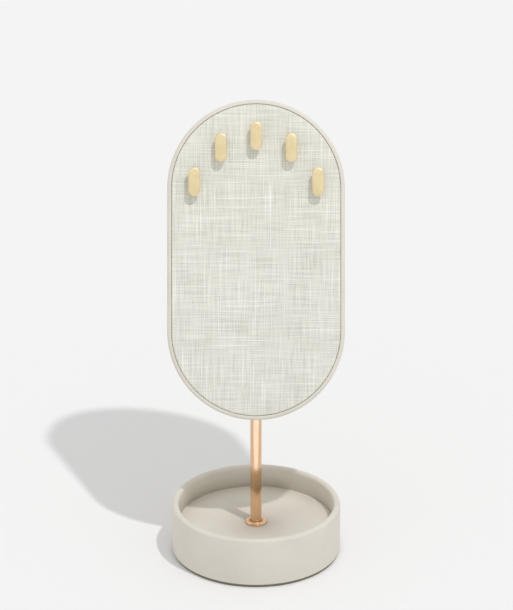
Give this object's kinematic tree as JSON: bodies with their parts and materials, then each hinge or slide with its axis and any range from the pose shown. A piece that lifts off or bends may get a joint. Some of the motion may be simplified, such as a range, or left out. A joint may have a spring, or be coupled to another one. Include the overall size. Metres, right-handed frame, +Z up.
{
  "type": "necklace stand",
  "caption": "Free-standing necklace stand with a round tray base, a turning post and a leaning round-ended linen panel that carries pill-shaped hooks.",
  "frame": {"origin": "centre of the underside of the foot pad, on the post's axis", "axes": "+Z up along the post, -Y towards the linen front, +X to the viewer's right; the panel leans back towards +Y"},
  "size_m": [0.114, 0.1488, 0.2804],
  "materials": {
    "leatherette": "fine-grained matt taupe leatherette",
    "linen": "slubby plain-weave linen, cream",
    "padding": "thin wadding",
    "rose_gold": "satin rose-gold plate",
    "pale_gold": "satin pale-gold plate",
    "steel": "zinc-plated steel",
    "board": "fibreboard",
    "card": "grey board",
    "pad": "matt dark taupe rubber sheet",
    "bush_plastic": "natural acetal"
  },
  "bodies": {
    "base": {"base_pad": "pad", "base_tray_core": "board", "base_wrap": "leatherette", "tray_floor_card": "card", "tray_lining": "leatherette", "base_weight": "steel", "weight_screws": "steel", "swivel_bush": "bush_plastic", "thrust_washer": "steel", "post_rosette": "rose_gold"},
    "panel": {"panel_wrap": "leatherette", "back_cover": "leatherette", "linen_cover": "linen", "insert_padding": "padding", "post_tube": "rose_gold", "hook_plate_1": "pale_gold", "hook_plate_2": "pale_gold", "hook_plate_3": "pale_gold", "hook_plate_4": "pale_gold", "hook_plate_5": "pale_gold", "hook_stem_1": "pale_gold", "hook_stem_2": "pale_gold", "hook_stem_3": "pale_gold", "hook_stem_4": "pale_gold", "hook_stem_5": "pale_gold", "post_foot_plug": "steel", "friction_washer": "steel", "lock_nut": "steel", "post_top_plug": "steel", "post_screws": "steel", "hook_screws": "steel", "panel_core": "board", "insert_board": "card"}
  },
  "joints": [
    {"name": "panel_swivel", "type": "hinge", "parent": "base", "child": "panel", "pos_m": [0, 0, 0.0194], "axis": [0, 0, 1], "continuous": true}
  ]
}
